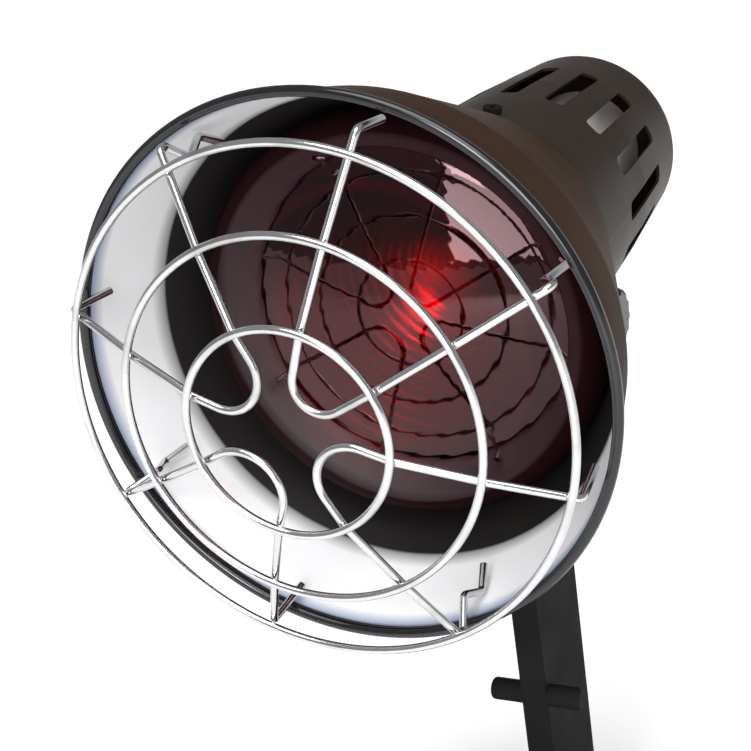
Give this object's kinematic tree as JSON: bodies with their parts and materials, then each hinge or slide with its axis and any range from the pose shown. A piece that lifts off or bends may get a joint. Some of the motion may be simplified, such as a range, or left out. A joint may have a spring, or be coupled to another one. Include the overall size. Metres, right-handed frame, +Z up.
{
  "type": "heat lamp fixture",
  "caption": "Table-standing infrared heat lamp: spun shade with wire guard, reflector bulb in a vented rear sleeve, tilting on an arm with a weighted base",
  "frame": {"origin": "under the middle of the lamp's length, on the table plane the rubber feet stand on", "axes": "+Z up; the lamp shines along -Y, with its axis level at rest; +X is to the right seen from the front, towards the tilt knob"},
  "size_m": [0.155, 0.2556, 0.3475],
  "materials": {
    "guard_wire": "bright zinc-plated steel wire, polished",
    "rim": "gloss black rolled bead",
    "shade_paint": "dark bronze-brown baked enamel, satin",
    "liner": "bright spun aluminium",
    "sleeve_paint": "dark brown-black baked enamel, satin",
    "zinc_steel": "zinc-plated steel",
    "porcelain": "glazed white porcelain",
    "nickel": "nickel-plated brass",
    "brass": "plain turned brass",
    "red_glass": "ruby-red lacquered glass, glossy",
    "cap_metal": "rolled aluminium cap",
    "black_glass": "black vitrified insulator",
    "solder": "solder, dull",
    "clear_glass": "clear glass stem",
    "tungsten": "tungsten, dark",
    "black_paint": "satin black powder coat",
    "fibre": "red-brown fibre",
    "knob_plastic": "black moulded phenolic",
    "gland_plastic": "black nylon",
    "cast_weight": "cast iron, dull",
    "rubber": "black rubber"
  },
  "bodies": {
    "base": {"base_cover": "black_paint", "base_weight": "cast_weight", "base_plate": "zinc_steel", "base_feet": "rubber", "base_screws": "zinc_steel", "arm": "black_paint", "arm_screws": "zinc_steel", "tilt_bolt": "zinc_steel", "friction_washers": "fibre", "tilt_washer": "zinc_steel"},
    "knob": {"tilt_knob": "knob_plastic", "knob_insert": "brass"},
    "head": {"shade": "shade_paint", "rim_bead": "rim", "reflector_liner": "liner", "rear_sleeve": "sleeve_paint", "neck_screws": "black_paint", "tilt_clevis": "black_paint", "clevis_rivets": "zinc_steel", "lampholder_body": "porcelain", "lampholder_shell": "nickel", "lampholder_contact": "brass", "terminal_screws": "brass", "holder_screws": "zinc_steel", "holder_nuts": "zinc_steel", "holder_spacers": "nickel", "earth_screw": "brass", "earth_nut": "brass", "cord_gland": "gland_plastic", "gland_nut": "gland_plastic"},
    "guard": {"guard_ring_outer": "guard_wire", "guard_ring_middle": "guard_wire", "guard_ring_inner": "guard_wire", "guard_hairpin_top": "guard_wire", "guard_hairpin_left": "guard_wire", "guard_hairpin_bottom": "guard_wire", "guard_hairpin_right": "guard_wire"},
    "bulb_travel": {"bulb_contact": "solder"},
    "bulb": {"bulb_glass": "red_glass", "bulb_cap": "cap_metal", "bulb_cap_insulator": "black_glass", "bulb_stem": "clear_glass", "bulb_leads": "nickel", "bulb_filament": "tungsten"}
  },
  "joints": [
    {"name": "head_tilt", "type": "hinge", "parent": "base", "child": "head", "pos_m": [0, 0.06882, 0.2205], "axis": [1, 0, 0], "range_deg": [-60, 40]},
    {"name": "knob_turn", "type": "hinge", "parent": "base", "child": "knob", "pos_m": [0.0164, 0.06882, 0.2205], "axis": [1, 0, 0], "continuous": true},
    {"name": "guard_pull", "type": "slide", "parent": "head", "child": "guard", "axis": [0, -1, 0], "range_m": [0, 0.04]},
    {"name": "bulb_travel_out", "type": "slide", "parent": "head", "child": "bulb_travel", "axis": [0, -1, 0], "range_m": [0, 0.018]},
    {"name": "bulb_turn", "type": "hinge", "parent": "bulb_travel", "child": "bulb", "pos_m": [0, 0.08682, 0.27], "axis": [0, -1, 0], "range_deg": [0, 1800]}
  ],
  "couplings": [
    {"joint": "bulb_travel_out", "follows": "bulb_turn", "m_per_rad": 0.00057296}
  ]
}
